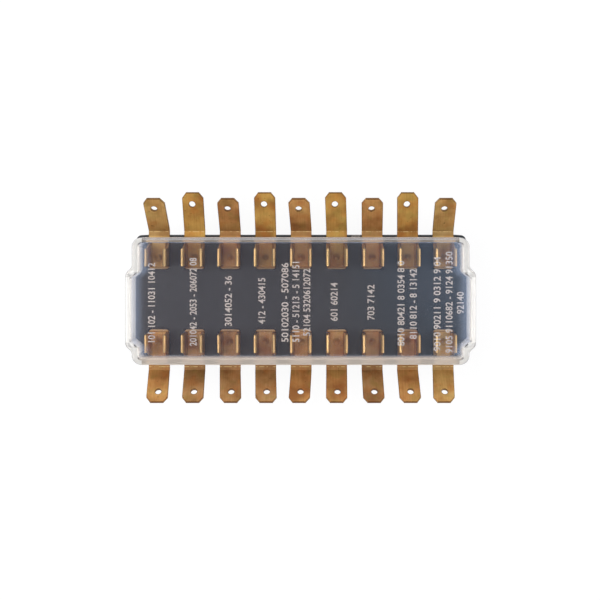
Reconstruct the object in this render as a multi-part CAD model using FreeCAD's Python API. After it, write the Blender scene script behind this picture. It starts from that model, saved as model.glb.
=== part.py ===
"""Nine-way fuse box for glass tube fuses: a moulded base, eighteen brass terminals and a clip-on clear cover.

Frame: X runs along the row of ways, Y across it from the front terminals to the back ones, and Z up through
the cover. The origin is the middle of the base's mounting face. Sizes are in millimetres and degrees.
"""

import FreeCAD
import Part

import math
import os

Vector = FreeCAD.Vector

# Fuse and connector sizes
fuse_diameter = 6.35
fuse_length = 31.75
tab_width = 6.3
strip_thickness = 0.8

# Layout of the ways
ways = 9
way_pitch = 10.75
cap_grip = 3.125  # from a fuse's end to the middle of the clip that holds it
end_margin = 7.0  # from the last way to the end of the base
side_margin = 6.65  # from a clip's middle to the side of the base

# Base
base_height = 11.0
base_corner = 1.7
base_draft = 0.2  # how much the skirt spreads on each side, from top to bottom
skirt_wall = 2.2
deck_thickness = 3.2
rib_thickness = 1.2
rib_setback = 1.0
cells_along = 3
cell_corner = 1.0
step_depth = 0.5
boss_radius = 3.6
screw_hole_radius = 1.3
screw_hole_depth = 7.5
screw_way_gap = 3.5  # the screws stand this many pitches from the middle

# Terminals
strip_clearance = 0.15  # each side of a strip in its channel
floor_corner = 1.2
lip_radius = 0.65  # of the upturned inner end, along the middle of the strip
lip_angle = 55.0
leaf_length = 5.2
leaf_foot = 1.6  # how far a leaf's root runs on towards the tab
leaf_foot_height = 3.4  # above the floor, where the foot has tapered away
leaf_thickness = 0.6
leaf_root_radius = 0.75
leaf_preload = 0.5  # how far each empty leaf stands inside the fuse cap's surface
grip_angle = 28.0
waist_radius = 0.9
flare_angle = 30.0
flare_length = 0.5
relief_width = 0.2
dimple_radius = 1.0  # of the punch mark in each clip's floor
dimple_depth = 0.5
pip_side = 1.2  # of the square pip that the punch pushes down into the deck
pip_height = 0.45
pip_clearance = 0.1
fuse_floor_gap = 0.45  # between a clip's floor and the fuse above it
bend_radius = 1.1
strip_reach = 20.25  # along the strip, from a clip's middle to the tip of its tab
tab_chamfer = 1.25  # of the tip's corners, across the tab
tab_chamfer_length = 1.7  # and along it
tab_coining = 0.18
tab_hole_radius = 0.95
tab_hole_setback = 3.65
tab_hole_offset = 0.25  # to the left of the tab's middle, seen from the clip

# How each row of tabs is bent up, and how far each tab leans along X, as on the real box
back_bend_reach = 1.05  # from the side of the base to the start of the bend
front_bend_reach = 1.7
back_even_angle = 22.0
back_odd_angle = 40.0
front_angle = 43.0
back_leans = (-2.1, -0.4, -0.1, -0.5, -3.0, -2.3, -2.0, -2.0, -1.0)
front_leans = (3.2, 2.1, 4.5, 3.0, -2.5, -0.9, 0.6, 0.7, -4.1)

# Cover
cover_wall = 1.6
cover_top = 1.4
cover_ledge = 0.6  # of the base left bare along the sides
cover_end_ledge = 0.4
cover_corner = 3.0
cover_draft = 0.15
cover_top_round = 0.9
lid_headroom = 1.2  # between the fuses and the underside of the cover
seat_clearance = 0.15
notch_clearance = 0.2
latch_wall = 1.1
latch_gap = 0.4
latch_front_margin = 5.7  # from the cover's front side to the flat of its end latches
latch_back_margin = 10.7
latch_slope = 1.8
latch_turn = 2.0
latch_drop = 5.0
latch_inset = 0.5
latch_corner = 1.6
bead_height = 0.3
bead_width = 1.2
bead_rise = 1.3  # from the latch's lower edge to the middle of its bead
groove_depth = 0.45
key_width = 2.4
key_drop = 1.0
key_height = 2.0
key_ways = 1.535  # the key stands this many pitches right of the middle
key_clearance = 0.15

# Places that follow from the sizes
clip_offset = fuse_length / 2 - cap_grip
leaf_end = leaf_length / 2 + relief_width
foot_end = leaf_end + leaf_foot
floor_reach = leaf_end + (lip_radius + strip_thickness / 2) * math.sin(math.radians(lip_angle))
half_length = (ways - 1) * way_pitch / 2 + end_margin
half_width = clip_offset + side_margin
step_z = base_height - step_depth
strip_bottom = base_height - strip_thickness
fuse_radius = fuse_diameter / 2
fuse_z = base_height + fuse_floor_gap + fuse_radius
ceiling_z = fuse_z + fuse_radius + lid_headroom
cover_z = ceiling_z + cover_top
cover_half_length = half_length - cover_end_ledge
cover_half_width = half_width - cover_ledge
latch_low = latch_front_margin - cover_half_width
latch_high = cover_half_width - latch_back_margin
latch_inner = half_length + latch_gap
latch_outer = latch_inner + latch_wall
latch_bottom = step_z - latch_drop
bead_z = latch_bottom + bead_rise
key_x = key_ways * way_pitch
way_places = [(i - (ways - 1) / 2) * way_pitch for i in range(ways)]
overlap = 0.5  # how far a cutting tool runs past what it cuts


def rounded_wire(corners, z=0.0):
    """A closed wire through (x, y, radius) corners, each rounded by its own radius."""
    points = [Vector(x, y, z) for x, y, radius in corners]
    starts, middles, ends = [], [], []
    for i, (x, y, radius) in enumerate(corners):
        corner = points[i]
        before = (points[i - 1] - corner).normalize()
        after = (points[(i + 1) % len(points)] - corner).normalize()
        half_angle = before.getAngle(after) / 2
        setback = radius / math.tan(half_angle)
        inward = (before + after).normalize()
        starts.append(corner + before * setback)
        ends.append(corner + after * setback)
        middles.append(corner + inward * (radius / math.sin(half_angle) - radius))
    edges = []
    for i in range(len(points)):
        if corners[i][2] > 0:
            edges.append(Part.Arc(starts[i], middles[i], ends[i]).toShape())
        edges.append(Part.makeLine(ends[i], starts[(i + 1) % len(points)]))
    return Part.Wire(edges)


def prism(corners, bottom, top):
    """A straight block on a rounded outline, from one height to another."""
    return Part.Face(rounded_wire(corners, bottom)).extrude(Vector(0, 0, top - bottom))


def box(low, high):
    """A block between two opposite corners."""
    size = [high[i] - low[i] for i in range(3)]
    return Part.makeBox(*size, Vector(*low))


def rectangle(half_x, half_y, radius):
    """Corners of a rounded rectangle about the origin."""
    return [
        (half_x, half_y, radius),
        (-half_x, half_y, radius),
        (-half_x, -half_y, radius),
        (half_x, -half_y, radius),
    ]


def latched_rectangle(half_x, half_y, radius, latch_x, trim):
    """Corners of a rounded rectangle whose two ends step out to latch_x where the latches are."""
    step = latch_x - half_x
    slope = min(latch_slope, step)
    high, low = latch_high - trim, latch_low + trim
    half_turn = math.tan(math.atan2(step, slope) / 2)
    turn = min(latch_turn, 0.45 * math.hypot(step, slope) / half_turn)
    radius = min(radius, half_y - slope - max(high, -low) - 1.1 * turn * half_turn)
    right = [
        (half_x, -half_y, radius),
        (half_x, low - slope, turn),
        (latch_x, low, turn),
        (latch_x, high, turn),
        (half_x, high + slope, turn),
        (half_x, half_y, radius),
    ]
    left = [(-x, y, r) for x, y, r in reversed(right)]
    return right + left


def ribbon(start, heading, moves, thickness):
    """A face in the XZ plane: a strip of even thickness along straight runs and tangent arcs.

    Each move is (length, 0) for a run, or (radius, turn) for an arc, and a positive turn is to the left.
    """
    left, right = [], []
    point, angle = Vector(start[0], 0, start[1]), math.radians(heading)

    def side(at, direction, offset):
        return at + Vector(-math.sin(direction), 0, math.cos(direction)) * offset

    for size, turn in moves:
        if turn == 0:
            reach = point + Vector(math.cos(angle), 0, math.sin(angle)) * size
            for edges, offset in ((left, thickness / 2), (right, -thickness / 2)):
                edges.append(Part.makeLine(side(point, angle, offset), side(reach, angle, offset)))
            point = reach
            continue
        sweep = math.radians(turn)
        radius = math.copysign(size, turn)
        centre = side(point, angle, radius)
        stops = [angle, angle + sweep / 2, angle + sweep]
        for edges, offset in ((left, thickness / 2), (right, -thickness / 2)):
            arc = [side(centre, stop, offset - radius) for stop in stops]
            edges.append(Part.Arc(*arc).toShape())
        angle += sweep
        point = side(centre, angle, -radius)
    caps = [
        Part.makeLine(side(point, angle, thickness / 2), side(point, angle, -thickness / 2)),
        Part.makeLine(left[0].Vertexes[0].Point, right[0].Vertexes[0].Point),
    ]
    return Part.Face(Part.Wire(Part.sortEdges(left + right + caps)[0]))


def leaf_section():
    """The right-hand leaf of a clip, seen along Y: up from the floor, round the fuse cap, in, and out again."""
    grip = fuse_radius + leaf_thickness / 2
    root_z = strip_bottom + leaf_thickness / 2
    root = (tab_width / 2 - leaf_thickness / 2 - leaf_root_radius, root_z + leaf_root_radius)
    reach_x, reach_z = -leaf_preload - root[0], fuse_z - root[1]
    distance = math.hypot(reach_x, reach_z)
    lean = math.asin((grip - leaf_root_radius) / distance)
    heading = math.degrees(math.atan2(reach_z, reach_x) - lean)
    moves = [
        (leaf_root_radius, 0),
        (leaf_root_radius, heading),
        (math.sqrt(distance**2 - (grip - leaf_root_radius) ** 2), 0),
        (grip, 90 + grip_angle - heading),
        (waist_radius, -grip_angle - flare_angle),
        (flare_length, 0),
    ]
    return ribbon((root[0] - leaf_root_radius, root_z), 0, moves, leaf_thickness)


def clip_leaves():
    """Both leaves of a clip about the origin, each tapering from a foot that runs on towards the tab."""
    half = leaf_length / 2
    foot = half + leaf_foot
    leaf = leaf_section()
    leaf.translate(Vector(0, -half, 0))
    leaf = leaf.extrude(Vector(0, half + foot, 0))
    clear = leaf.BoundBox.ZMax + overlap
    outline = [
        (foot, base_height, 0),
        (foot + overlap, base_height, 0),
        (foot + overlap, clear, 0),
        (half, clear, 0),
        (half, base_height + leaf_foot_height, 0),
    ]
    taper = prism(outline, 0, tab_width)
    taper.rotate(Vector(0, 0, 0), Vector(1, 1, 1), 120)
    leaf = leaf.cut(taper)
    return [leaf, leaf.mirror(Vector(0, 0, 0), Vector(1, 0, 0))]


def curled_strip(start, reach_radius, angle):
    """The full width of a strip bending up from the floor's level, towards +Y."""
    middle_z = base_height - strip_thickness / 2
    strip = ribbon((start, middle_z), 0, [(reach_radius, angle)], strip_thickness)
    strip.rotate(Vector(0, 0, 0), Vector(0, 0, 1), 90)
    strip.translate(Vector(-tab_width / 2, 0, 0))
    return strip.extrude(Vector(tab_width, 0, 0))


def clip_floor(root_end):
    """The flat part of a terminal, and its upturned end: slots free the leaves' roots, and a pip locates it."""
    half = tab_width / 2
    waist = half - leaf_thickness / 2 - leaf_root_radius
    right = [
        (waist, -leaf_end, 0),
        (waist, foot_end, 0),
        (half, foot_end, 0),
        (half, root_end, 0),
    ]
    left = [(-x, y, r) for x, y, r in reversed(right)]
    floor = prism(right + left, strip_bottom, base_height)
    dimple = Part.makeCone(0, dimple_radius, dimple_depth, Vector(0, 0, base_height - dimple_depth))
    pip_half = pip_side / 2
    pip = box((-pip_half, -pip_half, strip_bottom - pip_height), (pip_half, pip_half, strip_bottom))
    lip = curled_strip(leaf_end, lip_radius, lip_angle)
    lip.rotate(Vector(0, 0, 0), Vector(0, 0, 1), 180)
    corners = [(half, overlap, 0), (-half, overlap, 0), (-half, -floor_reach, floor_corner)]
    trim = prism(corners + [(half, -floor_reach, floor_corner)], strip_bottom, 2 * base_height)
    return [floor.fuse(pip).cut(dimple), lip.common(trim)]


def tab_blade(length, lean):
    """A flat tab from the origin along +Y: cut corners, coined tip, and a hole for the connector's dimple."""
    half = tab_width / 2
    slant = math.tan(math.radians(lean))
    shoulder = length - tab_chamfer_length
    outline = [
        (-half, 0, 0),
        (half, 0, 0),
        (half + slant * shoulder, shoulder, 0),
        (half - tab_chamfer + slant * length, length, 0),
        (-half + tab_chamfer + slant * length, length, 0),
        (-half + slant * shoulder, shoulder, 0),
    ]
    blade = prism(outline, -strip_thickness / 2, strip_thickness / 2)
    near_tip = [
        edge
        for edge in blade.Edges
        if edge.BoundBox.YMin > shoulder - tab_coining and edge.BoundBox.ZLength < strip_thickness / 2
    ]
    blade = blade.makeChamfer(tab_coining, near_tip)
    hole_y = length - tab_hole_setback
    place = Vector(slant * hole_y - tab_hole_offset, hole_y, -strip_thickness)
    hole = Part.makeCylinder(tab_hole_radius, 2 * strip_thickness, place)
    return blade.cut(hole)


def terminal(bend_reach, angle, lean):
    """One stamped terminal with its clip's middle over the origin and its tab pointing along +Y."""
    bend_start = side_margin + bend_reach
    turn = math.radians(angle)
    blade = tab_blade(strip_reach - bend_start - bend_radius * turn, lean)
    blade.rotate(Vector(0, 0, 0), Vector(1, 0, 0), angle)
    run, rise = bend_radius * math.sin(turn), bend_radius * (1 - math.cos(turn))
    blade.translate(Vector(0, bend_start + run, base_height - strip_thickness / 2 + rise))
    bend = curled_strip(bend_start, bend_radius, angle)
    floor, lip = clip_floor(bend_start)
    return floor.multiFuse(clip_leaves() + [lip, bend, blade]).removeSplitter()


def pip_pockets():
    """The square pockets in the deck that the terminals' pips drop into."""
    half = pip_side / 2 + pip_clearance
    low = strip_bottom - pip_height - pip_clearance
    return [
        box((x - half, y - half, low), (x + half, y + half, strip_bottom + overlap))
        for x in way_places
        for y in (-clip_offset, clip_offset)
    ]


def underside_cells():
    """The pockets between the ribs under the deck, in two rows."""
    roof = base_height - deck_thickness
    inner_x, inner_y = half_length - skirt_wall, half_width - skirt_wall
    cells = [prism(rectangle(inner_x, inner_y, cell_corner), -overlap, rib_setback)]
    spacing = (2 * inner_x + rib_thickness) / cells_along
    cell_x, cell_y = (spacing - rib_thickness) / 2, (inner_y - rib_thickness / 2) / 2
    for i in range(cells_along):
        for side in (-1, 1):
            cell = prism(rectangle(cell_x, cell_y, cell_corner), rib_setback - overlap, roof)
            cell.translate(
                Vector((i - (cells_along - 1) / 2) * spacing, side * (rib_thickness / 2 + cell_y), 0)
            )
            cells.append(cell)
    return cells


def screw_bosses():
    """Two posts under the deck and the screw holes in them."""
    posts, holes = [], []
    for side in (-1, 1):
        place = Vector(side * screw_way_gap * way_pitch, 0, 0)
        posts.append(Part.makeCylinder(boss_radius, base_height - deck_thickness + overlap, place))
        place = Vector(place.x, 0, -overlap)
        holes.append(Part.makeCylinder(screw_hole_radius, screw_hole_depth + overlap, place))
    return posts, holes


def terminal_channels():
    """The slots in the deck that hold the strips flush with it and let them out at the sides."""
    half = tab_width / 2 + strip_clearance
    inner = clip_offset - floor_reach - strip_clearance
    channels = []
    for x in way_places:
        for side in (-1, 1):
            near, far = sorted((side * inner, side * (half_width + 2 * overlap)))
            channels.append(box((x - half, near, strip_bottom), (x + half, far, base_height + overlap)))
    return channels


def cover_step():
    """What is cut from the deck's edge so that the cover's rim sits round a raised plateau."""
    plateau = latched_rectangle(
        cover_half_length - cover_wall - seat_clearance,
        cover_half_width - cover_wall - seat_clearance,
        cover_corner - cover_wall,
        latch_inner,
        cover_wall,
    )
    reach_x, reach_y = half_length + 2 * overlap, half_width + 2 * overlap
    around = box((-reach_x, -reach_y, step_z), (reach_x, reach_y, base_height + overlap))
    return around.cut(prism(plateau, step_z - overlap, base_height + 2 * overlap))


def latch_grooves():
    """The grooves in the base's ends that the latches' beads click into."""
    half = bead_width / 2 + groove_depth
    low, high = latch_low + latch_inset - seat_clearance, latch_high - latch_inset + seat_clearance
    grooves = []
    for side in (-1, 1):
        corners = [
            Vector(side * (half_length + overlap), low, bead_z - half - overlap),
            Vector(side * (half_length + overlap), low, bead_z + half + overlap),
            Vector(side * (half_length - groove_depth), low, bead_z + bead_width / 2),
            Vector(side * (half_length - groove_depth), low, bead_z - bead_width / 2),
        ]
        face = Part.Face(Part.makePolygon(corners + corners[:1]))
        grooves.append(face.extrude(Vector(0, high - low, 0)))
    return grooves


def base():
    """The black moulding: skirt, ribbed deck, channels and pockets, screw posts and the cover's seat."""
    top = rectangle(half_length, half_width, base_corner)
    foot = rectangle(half_length + base_draft, half_width + base_draft, base_corner + base_draft)
    straight = prism(top, step_z - 0.001, base_height)
    skirt = Part.makeLoft([rounded_wire(foot, 0), rounded_wire(top, step_z)], True, True)
    body = skirt.fuse(straight).removeSplitter()
    body = body.cut(cover_step())
    key_half = key_width / 2 + key_clearance
    key_slot = box(
        (key_x - key_half, cover_half_width - key_clearance, step_z - key_drop - key_clearance),
        (key_x + key_half, half_width + 2 * overlap, base_height + overlap),
    )
    posts, holes = screw_bosses()
    body = body.cut(Part.makeCompound(underside_cells()))
    body = body.multiFuse(posts)
    for tool in (terminal_channels() + [key_slot], pip_pockets(), latch_grooves(), holes):
        body = body.cut(Part.makeCompound(tool))
    return body.removeSplitter()


def cover():
    """The clear moulding: a shallow lid with notches over the strips, a latch at each end and one key."""
    slim = cover_draft
    foot = latched_rectangle(cover_half_length, cover_half_width, cover_corner, latch_outer, 0)
    head = latched_rectangle(
        cover_half_length - slim, cover_half_width - slim, cover_corner - slim, latch_outer - slim, 0
    )
    shell = Part.makeLoft([rounded_wire(foot, step_z), rounded_wire(head, cover_z)], True, True)
    rim = [edge for edge in shell.Edges if edge.BoundBox.ZMin > cover_z - 0.01]
    shell = shell.makeFillet(cover_top_round, rim)
    inner_length, inner_width = cover_half_length - cover_wall, cover_half_width - cover_wall
    hollow_foot = latched_rectangle(
        inner_length, inner_width, cover_corner - cover_wall, latch_inner, cover_wall
    )
    hollow_head = latched_rectangle(
        inner_length - slim, inner_width - slim, cover_corner - cover_wall, latch_inner - slim, cover_wall
    )
    hollow = Part.makeLoft(
        [rounded_wire(hollow_foot, step_z), rounded_wire(hollow_head, ceiling_z)], True, True
    )
    mouth = prism(hollow_foot, step_z - overlap, step_z)
    shell = shell.cut(hollow.fuse(mouth))
    half = tab_width / 2 + notch_clearance
    notches = [
        box(
            (x - half, -cover_half_width - overlap, step_z - overlap),
            (x + half, cover_half_width + overlap, base_height + notch_clearance / 2),
        )
        for x in way_places
    ]
    shell = shell.cut(Part.makeCompound(notches))
    key = box(
        (key_x - key_width / 2, cover_half_width - cover_wall / 2, step_z - key_drop),
        (key_x + key_width / 2, half_width, step_z + key_height),
    )
    key_foot = box(
        (key_x - key_width, 0, step_z - 2 * key_drop), (key_x + key_width, cover_half_width, step_z)
    )
    return shell.multiFuse([key.cut(key_foot)] + latches()).removeSplitter()


def latches():
    """The flexible end walls below the cover's rim, each with its catch bead."""
    low, high = latch_low + latch_inset, latch_high - latch_inset
    made = []
    for side in (-1, 1):
        outline = [
            (low, latch_bottom, latch_corner),
            (high, latch_bottom, latch_corner),
            (high, step_z + overlap, 0),
            (low, step_z + overlap, 0),
        ]
        plate = prism(outline, 0, latch_wall)
        plate.rotate(Vector(0, 0, 0), Vector(1, 1, 1), 120)
        plate.translate(Vector(latch_inner, 0, 0))
        root_x = latch_inner + latch_wall / 2
        tip_x = latch_inner - bead_height
        corners = [
            Vector(root_x, low + latch_corner, bead_z - bead_width / 2 - bead_height),
            Vector(root_x, low + latch_corner, bead_z + bead_width / 2 + bead_height),
            Vector(latch_inner, low + latch_corner, bead_z + bead_width / 2 + bead_height),
            Vector(tip_x, low + latch_corner, bead_z + bead_width / 2),
            Vector(tip_x, low + latch_corner, bead_z - bead_width / 2),
            Vector(latch_inner, low + latch_corner, bead_z - bead_width / 2 - bead_height),
        ]
        face = Part.Face(Part.makePolygon(corners + corners[:1]))
        bead = face.extrude(Vector(0, high - low - 2 * latch_corner, 0))
        latch = plate.fuse(bead).removeSplitter()
        if side < 0:
            latch = latch.mirror(Vector(0, 0, 0), Vector(1, 0, 0))
        made.append(latch)
    return made


def back_terminal(i):
    """The terminal of way i on the +Y side. Every second tab is bent up less, to give its connector room."""
    angle = back_even_angle if i % 2 else back_odd_angle
    piece = terminal(back_bend_reach, angle, back_leans[i % len(back_leans)])
    piece.translate(Vector(way_places[i], clip_offset, 0))
    return piece


def front_terminal(i):
    """The terminal of way i on the -Y side, the same stamping turned round."""
    piece = terminal(front_bend_reach, front_angle, -front_leans[i % len(front_leans)])
    piece.rotate(Vector(0, 0, 0), Vector(0, 0, 1), 180)
    piece.translate(Vector(way_places[i], -clip_offset, 0))
    return piece


def export(name, shape):
    """Writes one solid to its own STEP file."""
    solid = shape.Solids[0] if len(shape.Solids) == 1 else shape
    print(f"{name}: {len(shape.Solids)} solid, {solid.Volume:.1f} mm3, valid {solid.isValid()}")
    solid.exportStep(f"parts/{name}.step")


os.makedirs("parts", exist_ok=True)
export("base", base())
export("cover", cover())
for i in range(ways):
    export(f"terminal_back_{i + 1}", back_terminal(i))
    export(f"terminal_front_{i + 1}", front_terminal(i))
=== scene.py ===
import bpy
import numpy as np
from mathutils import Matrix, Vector


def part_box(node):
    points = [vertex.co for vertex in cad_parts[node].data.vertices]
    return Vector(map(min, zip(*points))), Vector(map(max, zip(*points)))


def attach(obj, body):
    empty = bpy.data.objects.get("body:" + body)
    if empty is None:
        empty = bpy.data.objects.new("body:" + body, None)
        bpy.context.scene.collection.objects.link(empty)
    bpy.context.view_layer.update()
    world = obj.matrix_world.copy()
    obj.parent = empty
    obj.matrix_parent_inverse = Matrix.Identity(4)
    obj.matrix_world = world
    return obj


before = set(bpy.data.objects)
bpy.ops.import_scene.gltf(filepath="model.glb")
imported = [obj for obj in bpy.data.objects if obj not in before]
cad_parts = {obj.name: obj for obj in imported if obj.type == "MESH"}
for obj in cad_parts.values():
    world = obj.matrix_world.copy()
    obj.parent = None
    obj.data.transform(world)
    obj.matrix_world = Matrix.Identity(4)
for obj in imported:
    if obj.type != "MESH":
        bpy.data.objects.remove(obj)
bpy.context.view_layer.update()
print("frame loaded")

mm = 0.001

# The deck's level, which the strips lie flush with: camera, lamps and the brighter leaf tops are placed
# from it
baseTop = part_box("base")[1].z
coverLow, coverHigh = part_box("cover")


# Small helpers for materials

def srgb(hexColour):
    # each channel c becomes c/12.92 up to 0.04045 and ((c+0.055)/1.055)^2.4 above it
    channels = [int(hexColour[i:i + 2], 16) / 255 for i in (1, 3, 5)]
    linear = [c / 12.92 if c <= 0.04045 else ((c + 0.055) / 1.055) ** 2.4 for c in channels]
    return (*linear, 1.0)


def grey(value):
    return (value, value, value, 1.0)


def newMaterial(name):
    material = bpy.data.materials.new(name)
    material.use_nodes = True
    material.node_tree.nodes.clear()
    return material, material.node_tree


def findSocket(sockets, key):
    # _1 is the second socket, and another key is the first one in use with that name
    if key[1:].isdigit():
        return sockets[int(key[1:])]
    return next(socket for socket in sockets if socket.enabled and socket.name == key.replace("_", " "))


def addNode(tree, kind, settings=None, **inputs):
    # one node with its settings and inputs: a node or socket is linked, and anything else is set as a value
    node = tree.nodes.new(kind)
    settings = dict(settings or {})
    stops = list(settings.pop("stops", []))  # a ramp's (place, colour) pairs
    elements = node.color_ramp.elements if stops else []
    while len(elements) < len(stops):
        elements.new(0.5)
    for element, (place, colour) in zip(elements, stops):
        element.position = place
        element.color = colour
    for key, value in settings.items():
        setattr(node, key, value)
    for key in ("From", "To"):  # a map range's two ends
        if key in inputs:
            inputs[key + "_Min"], inputs[key + "_Max"] = inputs.pop(key)
    for key, value in inputs.items():
        if isinstance(value, bpy.types.Node):
            value = next(output for output in value.outputs if output.enabled)
        socket = findSocket(node.inputs, key)
        if isinstance(value, bpy.types.NodeSocket):
            tree.links.new(value, socket)
        else:
            socket.default_value = value
    return node


def setMaterial(piece, material):
    piece.data.materials.clear()
    piece.data.materials.append(material)


# Camera: square above the deck, with the box a little left of and below the lens axis

cameraView = {
    "height": 260 * mm,  # from the deck
    "alongX": 4.7 * mm,
    "alongY": 17.7 * mm,
    "lens": 51.5,
    "sensor": 36,
    "shiftX": -0.0278,
    "shiftY": -0.0988,
    "nearest": 5 * mm,
}

camera = bpy.data.objects.new("camera", bpy.data.cameras.new("camera"))
bpy.context.scene.collection.objects.link(camera)
camera.location = (cameraView["alongX"], cameraView["alongY"], baseTop + cameraView["height"])
camera.data.lens = cameraView["lens"]
camera.data.sensor_width = cameraView["sensor"]
camera.data.shift_x = cameraView["shiftX"]
camera.data.shift_y = cameraView["shiftY"]
camera.data.clip_start = cameraView["nearest"]
bpy.context.scene.camera = camera
bpy.context.scene.view_settings.view_transform = "Standard"
print("camera placed")


# Light: a white tent, dim right above where the camera looks in, brightest in a ring round that

lighting = {
    "tent": 0.8,
    "ring": 1.0,
    "openingColours": ["#9f98a4", "#9d979f", "#7f8a96"],  # from the left of the dim opening to its right
    "openingStops": (0.1, 0.5, 0.9),  # where they stand over its width
    "openingWidth": (-0.2, 0.2),  # in sines of the angle to the left and right
    "openingEdge": 0.965,  # the cosines of the angles from straight up where the dim opening ends,
    "ringEdge": 0.92,  # where the bright ring stands
    "ringEnd": 0.72,  # and where it has faded into the tent
    "blueGlow": 1.15,
    "blueColour": "#a9c6ee",
    "bluePlace": (0.30, 0.02, 0.95),
    "blueReach": (0.3, 0.08),  # from that place, where the glow begins and where it is full
    "seen": "#ffffff",  # what the camera itself sees of the tent
    "lampSize": 0.5,
    "lamps": {  # each one's place and power
        "lamp_left": ((-0.66, 0.05, 0.5), 5.0),
        "lamp_right": ((0.7, 0.02, 0.45), 3.0),
        "lamp_back": ((-0.1, 0.6, 0.6), 0.5),
    },
}

world = bpy.data.worlds.new("tent")
world.use_nodes = True
bpy.context.scene.world = world
sky = world.node_tree
sky.nodes.clear()
skyward = addNode(sky, "ShaderNodeTexCoord").outputs["Generated"]
skyParts = addNode(sky, "ShaderNodeSeparateXYZ", Vector=skyward)
height = skyParts.outputs["Z"]
tentStops = [(lighting["ringEnd"], grey(lighting["tent"])), (lighting["ringEdge"], grey(lighting["ring"]))]
tentShade = addNode(sky, "ShaderNodeValToRGB", {"stops": tentStops}, Fac=height)
sideways = addNode(sky, "ShaderNodeMapRange", Value=skyParts.outputs["X"], From=lighting["openingWidth"])
openingStops = [
    (place, srgb(colour)) for place, colour in zip(lighting["openingStops"], lighting["openingColours"])
]
openingShade = addNode(sky, "ShaderNodeValToRGB", {"stops": openingStops}, Fac=sideways)
openingShare = addNode(
    sky, "ShaderNodeMapRange", Value=height, From=(lighting["ringEdge"], lighting["openingEdge"])
)
tentShade = addNode(
    sky, "ShaderNodeMix", {"data_type": "RGBA"}, Factor=openingShare, A=tentShade, B=openingShade
)
fromBlue = addNode(
    sky, "ShaderNodeVectorMath", {"operation": "DISTANCE"}, _0=skyward, _1=lighting["bluePlace"]
)
blueShare = addNode(
    sky, "ShaderNodeMapRange", {"interpolation_type": "SMOOTHSTEP"}, Value=fromBlue,
    From=lighting["blueReach"],
)
tentLight = addNode(sky, "ShaderNodeBackground", Color=tentShade)
blueLight = addNode(
    sky, "ShaderNodeBackground", Color=srgb(lighting["blueColour"]), Strength=lighting["blueGlow"]
)
tentGlow = addNode(sky, "ShaderNodeMixShader", _0=blueShare, _1=tentLight, _2=blueLight)
tentSeen = addNode(sky, "ShaderNodeBackground", Color=srgb(lighting["seen"]))
toCamera = addNode(sky, "ShaderNodeLightPath").outputs["Is Camera Ray"]
tentMix = addNode(sky, "ShaderNodeMixShader", _0=toCamera, _1=tentGlow, _2=tentSeen)
addNode(sky, "ShaderNodeOutputWorld", Surface=tentMix)

for name, (place, power) in lighting["lamps"].items():
    lamp = bpy.data.objects.new(name, bpy.data.lights.new(name, "AREA"))
    bpy.context.scene.collection.objects.link(lamp)
    lamp.location = place
    lamp.rotation_euler = (Vector((0, 0, baseTop)) - Vector(place)).to_track_quat("-Z", "Y").to_euler()
    lamp.data.shape = "SQUARE"
    lamp.data.size = lighting["lampSize"]
    lamp.data.energy = power
print("lights placed")


# Floor: white paper that keeps a faint soft shadow

floorSheet = {
    "half": 1.6,
    "below": 0.2 * mm,  # the box's underside, so that the two don't touch
    "paper": "#ffffff",
    "glow": 0.9,  # how much of the sheet is plain white, without shadow
}


def whitePaper():
    # matt white paper: nearly plain white when seen, mirrored or looked at through the cover, and only a
    # tenth of it takes the shadow
    material, tree = newMaterial("white_paper")
    lit = addNode(tree, "ShaderNodeBsdfDiffuse", Color=srgb(floorSheet["paper"]))
    white = addNode(tree, "ShaderNodeEmission", Color=srgb(floorSheet["paper"]))
    rays = addNode(tree, "ShaderNodeLightPath")
    seen = rays.outputs["Is Camera Ray"]
    for other in ("Is Glossy Ray", "Is Transmission Ray"):
        seen = addNode(tree, "ShaderNodeMath", {"operation": "MAXIMUM"}, _0=seen, _1=rays.outputs[other])
    share = addNode(tree, "ShaderNodeMath", {"operation": "MULTIPLY"}, _0=seen, _1=floorSheet["glow"])
    surface = addNode(tree, "ShaderNodeMixShader", _0=share, _1=lit, _2=white)
    addNode(tree, "ShaderNodeOutputMaterial", Surface=surface)
    return material


half = floorSheet["half"]
corners = [(-half, -half, 0), (half, -half, 0), (half, half, 0), (-half, half, 0)]
floorMesh = bpy.data.meshes.new("floor")
floorMesh.from_pydata(corners, [], [(0, 1, 2, 3)])
floor = bpy.data.objects.new("floor", floorMesh)
bpy.context.scene.collection.objects.link(floor)
floor.location.z = -floorSheet["below"]
setMaterial(floor, whitePaper())
print("floor laid")


# Base: injection-moulded black ABS, satin from a fine spark texture

baseLook = {
    "dark": "#0f1013",
    "pale": "#17181c",
    "patchSize": 18 * mm,
    "patchStops": (0.3, 0.7),  # of the noise, for dark and pale
    "textureSize": 0.35 * mm,  # a real spark texture is finer; this is as coarse as it needs to show
    "textureDepth": 0.02 * mm,
    "textureStrength": 0.15,
    "roughness": 0.4,
    "ior": 1.53,
}


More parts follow.
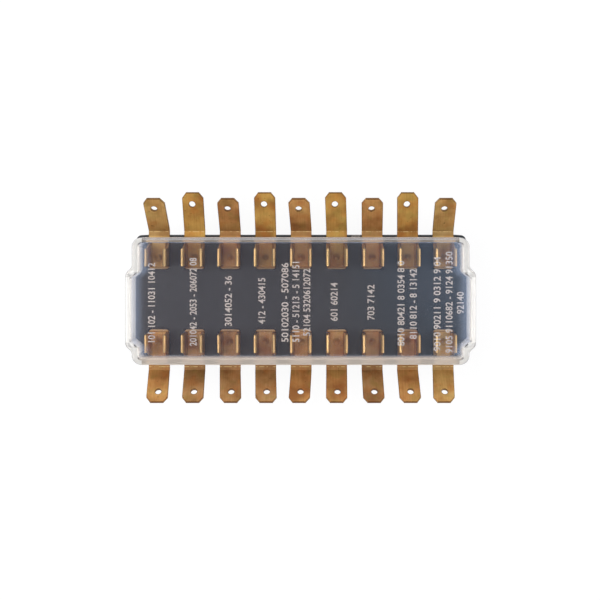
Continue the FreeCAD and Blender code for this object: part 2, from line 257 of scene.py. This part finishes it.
def mouldedBlackAbs():
    # black, slightly blue-grey in reflection, with soft patches where the mould texture varies
    look = baseLook
    material, tree = newMaterial("moulded_black_abs")
    place = addNode(tree, "ShaderNodeTexCoord").outputs["Object"]
    patches = addNode(tree, "ShaderNodeTexNoise", Vector=place, Scale=1 / look["patchSize"], Detail=3.0)
    stops = zip(look["patchStops"], (srgb(look["dark"]), srgb(look["pale"])))
    colour = addNode(tree, "ShaderNodeValToRGB", {"stops": stops}, Fac=patches)
    texture = addNode(tree, "ShaderNodeTexNoise", Vector=place, Scale=1 / look["textureSize"], Detail=2.0)
    bump = addNode(
        tree, "ShaderNodeBump", Height=texture, Strength=look["textureStrength"],
        Distance=look["textureDepth"],
    )
    surface = addNode(
        tree, "ShaderNodeBsdfPrincipled", Base_Color=colour, Roughness=look["roughness"], IOR=look["ior"],
        Normal=bump,
    )
    addNode(tree, "ShaderNodeOutputMaterial", Surface=surface)
    return material


setMaterial(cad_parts["base"], mouldedBlackAbs())
print("base finished")


# Terminals: stamped brass strip, tarnished

brassLook = {
    "tones": {  # flat and root are the shares of painted shade over a back tab's flat part and just beyond its bend
        "brown": {"clean": "#cd985e", "dull": "#a77245", "bright": "#daac6b", "flat": 0.45, "root": 0.3},
        "yellow": {"clean": "#c0934f", "dull": "#9a6c3a", "bright": "#cfa75c", "flat": 0.0, "root": 0.1},
        "pale": {"clean": "#d2a96a", "dull": "#ac804b", "bright": "#dcb876", "flat": 0.5, "root": 0.2},
        "dim": {"clean": "#bb8e5d", "dull": "#956a45", "bright": "#caa070", "flat": 0.0, "root": 0.0},
    },
    # from the left; the pale tone, given to tabs at the ends, is painted light, since they look more
    # brightly lit
    "backTones": ["pale", "yellow", "brown", "yellow", "brown", "yellow", "brown", "yellow", "pale"],
    "frontTones": ["brown", "dim", "dim", "dim", "brown", "brown", "dim", "brown", "pale"],
    "wayPitch": 10.75 * mm,  # from one way to the next
    "toneSize": 6 * mm,  # of the blotches between dull and bright
    "toneStops": (0.34, 0.52, 0.7),  # of their noise, for dull, clean and bright
    "streakWidth": 0.3 * mm,  # real rolling streaks are finer; these are as coarse as they need to show
    "streakLength": 7 * mm,
    "streakRange": (0.4, 0.75),  # of their noise
    "streakShare": 0.3,
    "films": ("#c06a2c", "#8d8a44"),  # of oxide: copper-red and olive
    "filmSize": 3.4 * mm,
    "filmStops": (0.47, 0.53),  # of their noise, for the one and the other
    "filmRange": (0.03, 0.16),  # how far their noise has to be from its middle, 0.5
    "filmShare": 0.22,
    "specks": "#4f3420",
    "speckSize": 0.9 * mm,
    "speckRange": (0.66, 0.76),
    "speckShare": 0.6,
    # painted shade on the cut edges, for the dark surroundings they would mirror
    "edge": "#5a3a1e",
    "edgeRadius": 0.12 * mm,  # of the rounding that edges show in highlights
    "edgeShadeWidth": 0.3 * mm,  # of the painted shade along them
    "edgeRange": (0.998, 0.93),  # the cosine between the face and the widely rounded edge
    "edgeShadeShare": 0.9,
    "coinedRange": (-0.3, -0.2),  # the outward part of a normal, which is less on faces that lean back
    "coinedShadeShare": 0.75,
    "tabStart": 21.6 * mm,  # this and the places below are across the box, from its middle
    # the colour of the painted shade under the cover, over the back tabs' flat parts and just beyond the
    # bends
    "shade": "#6b4a34",
    "backShade": 0.45,
    "backShadeEnd": 19.2 * mm,
    "frontShades": (0.15, 0.5),  # over the clips' floors and out at the bends
    "frontShadePlaces": (15 * mm, 18.5 * mm),
    "frontShadeEnd": 21.7 * mm,
    "shadeFade": 0.7 * mm,
    "flatPlaces": (19.2 * mm, 20.9 * mm),  # of the back tabs that stay flat a little before they bend up
    "rootPlaces": (20.9 * mm, 23.5 * mm),  # just beyond the bends
    "markTone": "#3a2a20",
    "markPlace": 12.75 * mm,
    "markRadii": (1.6 * mm, 0.3 * mm),  # where it starts and where it is full
    "markShare": 0.25,
    # painted highlight where the strips' inner ends curl up
    "lipHighlight": "#e6c2a0",
    "lipPlaces": (9.6 * mm, 9.25 * mm),  # where the strips' inner ends turn up
    "lipHighlightShare": 0.85,
    "bendHighlight": "#e6c98c",
    "bendHighlightPlace": 20.45 * mm,  # near each tab's bend, where a painted highlight crosses it
    "bendHighlightWidth": 0.3 * mm,
    "bendHighlightRange": (0.42, 0.55),  # of the specks' noise, which breaks the line
    "bendHighlightShare": 0.9,
    # leaves rubbed bright by the fuses, and in part painted highlight and light on them
    "rubbedAndSheen": "#c2a674",
    "rubbedSheenHeights": (1.2 * mm, 6.4 * mm),  # above the deck, where it begins and where it is full
    "rubbedSheenShare": 0.55,
    "roughnessRange": (0.2, 0.8),  # of the streaks' noise
    "roughness": (0.4, 0.6),
    "streakDepth": 0.01 * mm,
    "streakStrength": 0.25,
}


def stripColour(tree, place, streaks, tone):
    # blotches between dull and bright, duller streaks along the rolling, and thin films of oxide
    look = brassLook
    blotches = addNode(tree, "ShaderNodeTexNoise", Vector=place, Scale=1 / look["toneSize"], Detail=4.0)
    toneStops = zip(look["toneStops"], [srgb(tone[key]) for key in ("dull", "clean", "bright")])
    blotched = addNode(tree, "ShaderNodeValToRGB", {"stops": toneStops}, Fac=blotches)
    streakShare = addNode(
        tree, "ShaderNodeMapRange", Value=streaks, From=look["streakRange"], To=(0.0, look["streakShare"])
    )
    streaked = addNode(
        tree, "ShaderNodeMix", {"data_type": "RGBA"}, Factor=streakShare, A=blotched, B=srgb(tone["dull"])
    )
    films = addNode(tree, "ShaderNodeTexNoise", Vector=place, Scale=1 / look["filmSize"], Detail=2.0)
    filmStops = zip(look["filmStops"], [srgb(film) for film in look["films"]])
    filmColour = addNode(tree, "ShaderNodeValToRGB", {"stops": filmStops}, Fac=films)
    fromNone = addNode(tree, "ShaderNodeMath", {"operation": "SUBTRACT"}, _0=films, _1=0.5)
    fromNone = addNode(tree, "ShaderNodeMath", {"operation": "ABSOLUTE"}, _0=fromNone)
    filmShare = addNode(
        tree, "ShaderNodeMapRange", Value=fromNone, From=look["filmRange"], To=(0.0, look["filmShare"])
    )
    return addNode(
        tree, "ShaderNodeMix", {"data_type": "RGBA"}, Factor=filmShare, A=streaked, B=filmColour
    )


def cutEdgeShade(tree, alongY, across):
    # painted shade: cut edges are darker, standing in for the dark surroundings they would mirror; a widely
    # rounded normal leaves the face's own normal only near an edge
    look = brassLook
    wide = addNode(tree, "ShaderNodeBevel", {"samples": 6}, Radius=look["edgeShadeWidth"])
    face = addNode(tree, "ShaderNodeNewGeometry").outputs["Normal"]
    along = addNode(tree, "ShaderNodeVectorMath", {"operation": "DOT_PRODUCT"}, _0=wide, _1=face)
    edges = addNode(
        tree, "ShaderNodeMapRange", Value=along, From=look["edgeRange"], To=(0.0, look["edgeShadeShare"])
    )
    # the coined tips and the cut sides, the only faces of a tab that don't lean back to the box, get the
    # same painted shade
    side = addNode(tree, "ShaderNodeMath", {"operation": "SIGN"}, _0=alongY)
    faceY = addNode(tree, "ShaderNodeSeparateXYZ", Vector=face).outputs["Y"]
    outward = addNode(tree, "ShaderNodeMath", {"operation": "MULTIPLY"}, _0=faceY, _1=side)
    coined = addNode(
        tree, "ShaderNodeMapRange", Value=outward, From=look["coinedRange"], To=(0.0, look["coinedShadeShare"])
    )
    onTab = addNode(tree, "ShaderNodeMath", {"operation": "GREATER_THAN"}, _0=across, _1=look["tabStart"])
    coined = addNode(tree, "ShaderNodeMath", {"operation": "MULTIPLY"}, _0=coined, _1=onTab)
    return addNode(tree, "ShaderNodeMath", {"operation": "MAXIMUM"}, _0=edges, _1=coined)


def coveredShade(tree, behind, ahead):
    # painted shade: the strips are darker under the cover, and in the front row out to the bends
    look = brassLook
    growing = addNode(
        tree, "ShaderNodeMapRange", Value=ahead, From=look["frontShadePlaces"], To=look["frontShades"]
    )
    shades = [
        addNode(tree, "ShaderNodeMapRange", Value=way, From=(end - look["shadeFade"], end), To=(share, 0.0))
        for way, end, share in (
            (behind, look["backShadeEnd"], look["backShade"]), (ahead, look["frontShadeEnd"], growing)
        )
    ]
    inFront = addNode(tree, "ShaderNodeMath", {"operation": "GREATER_THAN"}, _0=ahead, _1=0.0)
    return addNode(tree, "ShaderNodeMix", Factor=inFront, A=shades[0], B=shades[1])


def bentShades(tree, behind, tone):
    # painted shade: back tabs that bend up sharply are also darker over their flat parts and just beyond
    # their bends
    flatStart, flatEnd = brassLook["flatPlaces"]
    pastStart = addNode(tree, "ShaderNodeMath", {"operation": "GREATER_THAN"}, _0=behind, _1=flatStart)
    beforeEnd = addNode(tree, "ShaderNodeMath", {"operation": "LESS_THAN"}, _0=behind, _1=flatEnd)
    onFlat = addNode(tree, "ShaderNodeMath", {"operation": "MULTIPLY"}, _0=pastStart, _1=beforeEnd)
    flatShare = addNode(tree, "ShaderNodeMath", {"operation": "MULTIPLY"}, _0=onFlat, _1=tone["flat"])
    rootStart, rootEnd = brassLook["rootPlaces"]
    fading = addNode(
        tree, "ShaderNodeMapRange", Value=behind, From=(rootStart, rootEnd), To=(tone["root"], 0.0)
    )
    beyond = addNode(tree, "ShaderNodeMath", {"operation": "GREATER_THAN"}, _0=behind, _1=rootStart)
    rootShare = addNode(tree, "ShaderNodeMath", {"operation": "MULTIPLY"}, _0=fading, _1=beyond)
    return flatShare, rootShare


def markDarkening(tree, alongX, across):
    # the clip's floor is darker round the punch mark, centred on it in the middle of each way
    look = brassLook
    halfWay = look["wayPitch"] / 2
    fromX = addNode(tree, "ShaderNodeMath", {"operation": "WRAP"}, _0=alongX, _1=halfWay, _2=-halfWay)
    fromY = addNode(tree, "ShaderNodeMath", {"operation": "SUBTRACT"}, _0=across, _1=look["markPlace"])
    fromMark = addNode(tree, "ShaderNodeCombineXYZ", X=fromX, Y=fromY, Z=0.0)
    distance = addNode(tree, "ShaderNodeVectorMath", {"operation": "LENGTH"}, _0=fromMark)
    return addNode(
        tree, "ShaderNodeMapRange", {"interpolation_type": "SMOOTHSTEP"}, Value=distance,
        From=look["markRadii"], To=(0.0, look["markShare"]),
    )


def bendHighlightLine(tree, across, specks):
    # a painted highlight: a thin broken bright line across each tab near its bend
    look = brassLook
    fromBend = addNode(tree, "ShaderNodeMath", {"operation": "SUBTRACT"}, _0=across, _1=look["bendHighlightPlace"])
    fromBend = addNode(tree, "ShaderNodeMath", {"operation": "ABSOLUTE"}, _0=fromBend)
    line = addNode(
        tree, "ShaderNodeMapRange", Value=fromBend, From=(0.0, look["bendHighlightWidth"] / 2), To=(1.0, 0.0)
    )
    broken = addNode(
        tree, "ShaderNodeMapRange", Value=specks, From=look["bendHighlightRange"], To=(0.0, look["bendHighlightShare"])
    )
    return addNode(tree, "ShaderNodeMath", {"operation": "MULTIPLY"}, _0=line, _1=broken)


def rubbedAndLitLeaves(tree, across, height):
    # leaves rubbed bright by the fuses on their way in, and partly painted highlight and light on them,
    # most near their lips; the tabs outside stay as they are
    look = brassLook
    low, high = look["rubbedSheenHeights"]
    rising = addNode(
        tree, "ShaderNodeMapRange", Value=height, From=(baseTop + low, baseTop + high),
        To=(0.0, look["rubbedSheenShare"]),
    )
    inside = addNode(tree, "ShaderNodeMath", {"operation": "LESS_THAN"}, _0=across, _1=-coverLow.y)
    return addNode(tree, "ShaderNodeMath", {"operation": "MULTIPLY"}, _0=rising, _1=inside)


def tarnishedBrass(name, tone):
    # rolled strip: lengthwise streaks, brown tarnish, dark specks, darker punch marks; painted shade on cut
    # edges,
    # under the cover and past the bends; painted highlights at the lips, the bends and the fuse-rubbed
    # leaves
    look = brassLook
    material, tree = newMaterial(name)
    place = addNode(tree, "ShaderNodeTexCoord").outputs["Object"]
    alongX, behind, height = addNode(tree, "ShaderNodeSeparateXYZ", Vector=place).outputs
    ahead = addNode(tree, "ShaderNodeMath", {"operation": "MULTIPLY"}, _0=behind, _1=-1.0)
    across = addNode(tree, "ShaderNodeMath", {"operation": "ABSOLUTE"}, _0=behind)
    streakScale = (1 / look["streakWidth"], 1 / look["streakLength"], 1 / look["streakLength"])
    stretched = addNode(tree, "ShaderNodeMapping", Vector=place, Scale=streakScale)
    streaks = addNode(tree, "ShaderNodeTexNoise", Vector=stretched, Scale=1.0, Detail=3.0)
    specks = addNode(tree, "ShaderNodeTexNoise", Vector=place, Scale=1 / look["speckSize"], Detail=4.0)
    speckShare = addNode(
        tree, "ShaderNodeMapRange", Value=specks, From=look["speckRange"], To=(0.0, look["speckShare"])
    )
    flatShare, rootShare = bentShades(tree, behind, tone)
    # painted highlight on the curled-up inner ends of the strips
    lipHighlightShare = addNode(
        tree, "ShaderNodeMapRange", Value=across, From=look["lipPlaces"], To=(0.0, look["lipHighlightShare"])
    )
    colour = stripColour(tree, place, streaks, tone)
    for share, layer in (
        (speckShare, "specks"),
        (cutEdgeShade(tree, behind, across), "edge"),
        (coveredShade(tree, behind, ahead), "shade"),
        (flatShare, "shade"),
        (rootShare, "shade"),
        (markDarkening(tree, alongX, across), "markTone"),
        (lipHighlightShare, "lipHighlight"),
        (bendHighlightLine(tree, across, specks), "bendHighlight"),
        (rubbedAndLitLeaves(tree, across, height), "rubbedAndSheen"),
    ):
        colour = addNode(
            tree, "ShaderNodeMix", {"data_type": "RGBA"}, Factor=share, A=colour, B=srgb(look[layer])
        )
    rough = addNode(
        tree, "ShaderNodeMapRange", Value=streaks, From=look["roughnessRange"], To=look["roughness"]
    )
    rounded = addNode(tree, "ShaderNodeBevel", {"samples": 4}, Radius=look["edgeRadius"])
    bump = addNode(
        tree, "ShaderNodeBump", Height=streaks, Strength=look["streakStrength"],
        Distance=look["streakDepth"], Normal=rounded,
    )
    surface = addNode(
        tree, "ShaderNodeBsdfPrincipled", Base_Color=colour, Metallic=1.0, Roughness=rough, Normal=bump
    )
    addNode(tree, "ShaderNodeOutputMaterial", Surface=surface)
    return material


brasses = {
    name: tarnishedBrass(f"tarnished_{name}_brass", tone) for name, tone in brassLook["tones"].items()
}
for row in ("back", "front"):
    for way, tone in enumerate(brassLook[row + "Tones"], 1):
        setMaterial(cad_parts[f"terminal_{row}_{way}"], brasses[tone])
print("terminals finished")


# Cover: injection-moulded clear polystyrene gone slightly milky

coverLook = {
    "roughness": 0.05,
    "ior": 1.57,
    "pass": "#f4f4f2",  # of light on its way to what is under the cover
    "through": 0.5,  # how much of the light on a cloudy place goes through it
    "faceColour": "#bccff0",
    "sideColours": ("#a89d94", "#efe4d8"),  # low in a wall and high in it: darker low down, which is painted shade
    # the end walls' colours, low and high, likewise darker low down in painted shade
    "endColours": ("#c6bfb9", "#fffdf9"),
    "besideEndColour": "#cdc9c8",
    "outline": "#85868a",  # painted shade along the rounded outer edge of the end walls, seen edge on
    "hazeHeights": (11 * mm, 20 * mm),
    "faceHaze": 0.006,
    "backHaze": 0.3,
    "frontHaze": 0.5,
    "endHaze": 0.85,
    "endClearing": 0.55,  # what is left of it low down in the wall
    "clearingTop": 0.8,  # of the height, where all of it is there
    "cornerHaze": 0.7,
    "slopeHaze": 0.45,
    "slopeStops": (0.2, 0.8),  # from the corners out to the latches
    "edgeStops": ((0.0, 0.0), (0.3, 0.03), (0.7, 0.3), (0.9, 0.6), (1.0, 0.75)),  # haze, face on to edge on
    "outlineFacing": (0.4, 0.75),
    "outlineStart": 0.5 * mm,  # past the inner side of the end walls
    "wall": 1.6 * mm,
    "latchThinner": 0.4 * mm,  # than the other walls
    "endStep": 2.0 * mm,  # from the corners' end faces out to the latches' outer faces
    "latchLow": -11.9 * mm,
    "latchHigh": 6.9 * mm,
    "latchSlope": 1.8 * mm,
    "endSoft": (-0.6 * mm, -0.2 * mm),  # inside the end walls, where their cloudiness fades in from the top
    "besideEnd": (-1.4 * mm, -0.5 * mm),
    "endGlow": 0.18,  # the faint cloudiness of the top beside them
    "endGlowReach": 5 * mm,
    "cornerCentre": (46.4 * mm, 15.7 * mm),
    "cornerRadius": 1.35 * mm,
    "cornerFade": 0.3 * mm,
    "backInner": 17.25 * mm,  # where the back wall starts and the front one ends
    "frontInner": -16.85 * mm,
    "sideStep": 0.05 * mm,  # over which their cloudiness comes in
    "frontGlow": 0.2,
    "frontGlowReach": 1.6 * mm,
}


def beyondEnds(tree, fromMiddle, alongY):
    # how far out from the end walls' inner sides a place is, and how far on the way from corner to latch:
    # the ends stand out by endStep between latchLow and latchHigh, over a slope at each
    look = coverLook
    low, high, slope = look["latchLow"], look["latchHigh"], look["latchSlope"]
    rise = addNode(tree, "ShaderNodeMapRange", Value=alongY, From=(low - slope, low))
    fall = addNode(tree, "ShaderNodeMapRange", Value=alongY, From=(high, high + slope), To=(1.0, 0.0))
    stepShare = addNode(tree, "ShaderNodeMath", {"operation": "MULTIPLY"}, _0=rise, _1=fall)
    endPlace = addNode(
        tree, "ShaderNodeMath", {"operation": "MULTIPLY_ADD"}, _0=stepShare,
        _1=look["endStep"] + look["latchThinner"], _2=coverHigh.x - look["endStep"] - look["wall"],
    )
    beyondEnd = addNode(tree, "ShaderNodeMath", {"operation": "SUBTRACT"}, _0=fromMiddle[0], _1=endPlace)
    return beyondEnd, stepShare


def roundCorners(tree, fromMiddle):
    # the corners are as cloudy as the ends outside cornerRadius from the middle of their rounding
    look = coverLook
    beyond = []
    for way, centre in zip(fromMiddle, look["cornerCentre"]):
        past = addNode(tree, "ShaderNodeMath", {"operation": "SUBTRACT"}, _0=way, _1=centre)
        beyond.append(addNode(tree, "ShaderNodeMath", {"operation": "MAXIMUM"}, _0=past, _1=0.0))
    outward = addNode(tree, "ShaderNodeCombineXYZ", X=beyond[0], Y=beyond[1], Z=0.0)
    distance = addNode(tree, "ShaderNodeVectorMath", {"operation": "LENGTH"}, _0=outward)
    fadeEnds = (look["cornerRadius"], look["cornerRadius"] + look["cornerFade"])
    outside = addNode(tree, "ShaderNodeMapRange", Value=distance, From=fadeEnds)
    bothWays = addNode(tree, "ShaderNodeMath", {"operation": "MINIMUM"}, _0=beyond[0], _1=beyond[1])
    inCorner = addNode(tree, "ShaderNodeMath", {"operation": "GREATER_THAN"}, _0=bothWays, _1=0.0)
    return addNode(tree, "ShaderNodeMath", {"operation": "MULTIPLY"}, _0=outside, _1=inCorner)


def topGlow(tree, beyondEnd, alongY):
    # the top is almost clear, and a little cloudier beside the end walls and the front wall
    look = coverLook
    endGlow = addNode(
        tree, "ShaderNodeMapRange", {"interpolation_type": "SMOOTHSTEP"}, Value=beyondEnd,
        From=(-look["endGlowReach"], 0.0), To=(look["faceHaze"], look["endGlow"]),
    )
    frontGlow = addNode(
        tree, "ShaderNodeMapRange", {"interpolation_type": "SMOOTHSTEP"}, Value=alongY,
        From=(look["frontInner"] + look["frontGlowReach"], look["frontInner"]), To=(0.0, look["frontGlow"]),
    )
    glow = addNode(tree, "ShaderNodeMath", {"operation": "MAXIMUM"}, _0=endGlow, _1=frontGlow)
    return glow, frontGlow


def sideWalls(tree, alongY):
    # the cloudiness of the back and front walls, from their inner sides out
    look = coverLook
    backStart, frontStart, step = look["backInner"], look["frontInner"], look["sideStep"]
    backHaze = addNode(
        tree, "ShaderNodeMapRange", Value=alongY, From=(backStart, backStart + step),
        To=(0.0, look["backHaze"]),
    )
    frontHaze = addNode(
        tree, "ShaderNodeMapRange", Value=alongY, From=(frontStart, frontStart - step),
        To=(0.0, look["frontHaze"]),
    )
    return addNode(tree, "ShaderNodeMath", {"operation": "MAXIMUM"}, _0=backHaze, _1=frontHaze)


def endWalls(tree, endShare, stepShare, height):
    # the cloudiness of the end walls: less on the slopes beside the latches, and less low down
    look = coverLook
    slopeStart, slopeEnd = look["slopeStops"]
    stops = [
        (0.0, grey(look["cornerHaze"])),
        (slopeStart, grey(look["slopeHaze"])),
        (slopeEnd, grey(look["slopeHaze"])),
        (1.0, grey(look["endHaze"])),
    ]
    stepHaze = addNode(tree, "ShaderNodeValToRGB", {"stops": stops}, Fac=stepShare)
    clearing = addNode(
        tree, "ShaderNodeMapRange", Value=height, From=(0.0, look["clearingTop"]),
        To=(look["endClearing"], 1.0),
    )
    stepHaze = addNode(tree, "ShaderNodeMath", {"operation": "MULTIPLY"}, _0=stepHaze, _1=clearing)
    return addNode(tree, "ShaderNodeMath", {"operation": "MULTIPLY"}, _0=endShare, _1=stepHaze)


def mouldedClearStyrene():
    # clear but faintly cloudy: black under its top turns slate grey, and the walls, through which one looks
    # along the whole height, gather light and go milky white
    look = coverLook
    material, tree = newMaterial("moulded_clear_styrene")
    place = addNode(tree, "ShaderNodeTexCoord").outputs["Object"]
    alongX, alongY, alongZ = addNode(tree, "ShaderNodeSeparateXYZ", Vector=place).outputs
    fromMiddle = [
        addNode(tree, "ShaderNodeMath", {"operation": "ABSOLUTE"}, _0=along) for along in (alongX, alongY)
    ]
    facing = addNode(tree, "ShaderNodeLayerWeight").outputs["Facing"]
    height = addNode(tree, "ShaderNodeMapRange", Value=alongZ, From=look["hazeHeights"])
    beyondEnd, stepShare = beyondEnds(tree, fromMiddle, alongY)
    cornerShare = roundCorners(tree, fromMiddle)
    endShare = addNode(tree, "ShaderNodeMapRange", Value=beyondEnd, From=look["endSoft"])
    endShare = addNode(tree, "ShaderNodeMath", {"operation": "MAXIMUM"}, _0=endShare, _1=cornerShare)
    glow, frontGlow = topGlow(tree, beyondEnd, alongY)
    sideHaze = sideWalls(tree, alongY)
    sideShare = addNode(tree, "ShaderNodeMath", {"operation": "GREATER_THAN"}, _0=sideHaze, _1=0.0)
    warmth = addNode(tree, "ShaderNodeMapRange", Value=frontGlow, From=(0.0, look["frontGlow"]))
    besideEnd = addNode(tree, "ShaderNodeMapRange", Value=beyondEnd, From=look["besideEnd"])
    # painted shade: a grey outline where the end walls' rounded outer edge is seen edge on
    outlined = addNode(tree, "ShaderNodeMapRange", Value=facing, From=look["outlineFacing"])
    atEnd = addNode(
        tree, "ShaderNodeMath", {"operation": "GREATER_THAN"}, _0=beyondEnd, _1=look["outlineStart"]
    )
    atEnd = addNode(tree, "ShaderNodeMath", {"operation": "MAXIMUM"}, _0=atEnd, _1=cornerShare)
    outlined = addNode(tree, "ShaderNodeMath", {"operation": "MULTIPLY"}, _0=outlined, _1=atEnd)
    sideColour, endColour = [
        addNode(
            tree, "ShaderNodeValToRGB", {"stops": [(0.0, srgb(low)), (1.0, srgb(high))]}, Fac=height
        )
        for low, high in (look["sideColours"], look["endColours"])
    ]
    hazeColour = srgb(look["faceColour"])
    for share, colour in (
        (warmth, srgb(look["sideColours"][1])),
        (besideEnd, srgb(look["besideEndColour"])),
        (sideShare, sideColour),
        (endShare, endColour),
        (outlined, srgb(look["outline"])),
    ):
        hazeColour = addNode(
            tree, "ShaderNodeMix", {"data_type": "RGBA"}, Factor=share, A=hazeColour, B=colour
        )
    edgeStops = [(place, grey(share)) for place, share in look["edgeStops"]]
    edgeHaze = addNode(tree, "ShaderNodeValToRGB", {"stops": edgeStops}, Fac=facing)
    haze = sideHaze
    for other in (endWalls(tree, endShare, stepShare, height), glow, edgeHaze):
        haze = addNode(tree, "ShaderNodeMath", {"operation": "MAXIMUM"}, _0=haze, _1=other)
    clear = addNode(
        tree, "ShaderNodeBsdfPrincipled", Base_Color=srgb("#ffffff"), Roughness=look["roughness"],
        IOR=look["ior"], Transmission_Weight=1.0,
    )
    cloudTop = addNode(tree, "ShaderNodeBsdfDiffuse", Color=hazeColour)
    cloudThrough = addNode(tree, "ShaderNodeBsdfTranslucent", Color=hazeColour)
    cloud = addNode(tree, "ShaderNodeMixShader", _0=look["through"], _1=cloudTop, _2=cloudThrough)
    body = addNode(tree, "ShaderNodeMixShader", _0=haze, _1=clear, _2=cloud)
    # light on its way to a lamp goes straight through, as it nearly does in the real cover
    through = addNode(tree, "ShaderNodeBsdfTransparent", Color=srgb(look["pass"]))
    toLamp = addNode(tree, "ShaderNodeLightPath").outputs["Is Shadow Ray"]
    surface = addNode(tree, "ShaderNodeMixShader", _0=toLamp, _1=body, _2=through)
    addNode(tree, "ShaderNodeOutputMaterial", Surface=surface)
    return material


setMaterial(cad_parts["cover"], mouldedClearStyrene())
print("cover finished")


# Print: plain white numbers under the cover's top, in lines that run from the front row to the back row

printing = {
    "capHeight": 2.1 * mm,
    "weight": 0.012,  # added round the strokes, where the letters are 1 high
    "curveSteps": 3,
    "topWall": 1.4 * mm,  # of the cover
    "gap": 0.01 * mm,  # between it and the film of ink
    "film": 0.02 * mm,
    "ink": "#b8aca4",
    "worn": "#8f867f",
    "grain": 0.25 * mm,
    "grainStops": (0.35, 0.55),  # of the noise, for worn and whole ink
    "roughness": 0.6,
    "ior": 1.5,
    "lines": [  # the numbers, their place along X, and where the line starts and ends along Y, in mm
        ("101 102 - 11031 10412", -43.7, -12.0, 11.2),
        ("201042 - 2053 - 206072 08", -31.5, -13.1, 12.7),
        ("3014052 - 36", -21.2, -7.3, 7.4),
        ("412 - 430415", -11.4, -6.7, 6.8),
        ("50102030 - 507086", -4.6, -12.0, 11.2),
        ("5110 - 51213 - 5 14151", -1.4, -12.0, 11.5),
        ("52104 5320612072", 1.8, -10.2, 9.5),
        ("601 60214", 9.8, -5.8, 5.4),
        ("703 7142", 20.6, -5.5, 4.8),
        ("8010 80421 8 0354 8 0", 29.4, -13.1, 11.8),
        ("8110 812 - 8 13142", 33.0, -11.1, 9.5),
        ("9010 90211 9 0312 9 04", 40.0, -14.6, 13.0),
        ("9105 9110682 - 9124 91350", 43.5, -15.2, 14.5),
        ("92140", 46.8, -3.7, 2.7),
    ],
}


def printedLine(words, x, start, end):
    # a point at shares (u, v, w) of a text's length, height and depth goes to (x + cap (1/2 - v),
    # start + (end - start) u, ceiling - film (1 - w)), so that the text reads from the front to the back
    curve = bpy.data.curves.new("line", "FONT")
    curve.body = words
    curve.offset = printing["weight"]
    curve.extrude = 0.5  # any depth, since only shares of it are kept
    curve.resolution_u = printing["curveSteps"]
    sample = bpy.data.objects.new("line", curve)
    bpy.context.scene.collection.objects.link(sample)
    bpy.context.view_layer.update()
    mesh = bpy.data.meshes.new_from_object(sample)
    points = np.empty(len(mesh.vertices) * 3)
    mesh.vertices.foreach_get("co", points)
    points = points.reshape(-1, 3)
    share = (points - points.min(axis=0)) / np.ptp(points, axis=0)
    ceiling = coverHigh.z - printing["topWall"] - printing["gap"]
    placed = np.column_stack([
        x + printing["capHeight"] * (0.5 - share[:, 1]),
        start + (end - start) * share[:, 0],
        ceiling - printing["film"] * (1 - share[:, 2]),
    ])
    faces = [list(face.vertices) for face in mesh.polygons]
    bpy.data.objects.remove(sample)
    bpy.data.curves.remove(curve)
    bpy.data.meshes.remove(mesh)
    return placed, faces


def printedNumbers():
    points, faces, offset = [], [], 0
    for words, x, start, end in printing["lines"]:
        placed, lineFaces = printedLine(words, x * mm, start * mm, end * mm)
        points.append(placed)
        faces += [[corner + offset for corner in face] for face in lineFaces]
        offset += len(placed)
    mesh = bpy.data.meshes.new("cover_print")
    mesh.from_pydata(np.vstack(points).tolist(), [], faces)
    piece = bpy.data.objects.new("cover_print", mesh)
    bpy.context.scene.collection.objects.link(piece)
    return piece


def screenPrintInk():
    # flat white ink, greyed a little and thin enough to look uneven
    material, tree = newMaterial("screen_print_ink")
    place = addNode(tree, "ShaderNodeTexCoord").outputs["Object"]
    patches = addNode(tree, "ShaderNodeTexNoise", Vector=place, Scale=1 / printing["grain"], Detail=2.0)
    stops = zip(printing["grainStops"], (srgb(printing["worn"]), srgb(printing["ink"])))
    colour = addNode(tree, "ShaderNodeValToRGB", {"stops": stops}, Fac=patches)
    surface = addNode(
        tree, "ShaderNodeBsdfPrincipled", Base_Color=colour, Roughness=printing["roughness"],
        IOR=printing["ior"],
    )
    addNode(tree, "ShaderNodeOutputMaterial", Surface=surface)
    return material


coverPrint = printedNumbers()
setMaterial(coverPrint, screenPrintInk())
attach(coverPrint, "lid")
print("print laid")


print("scene ready")
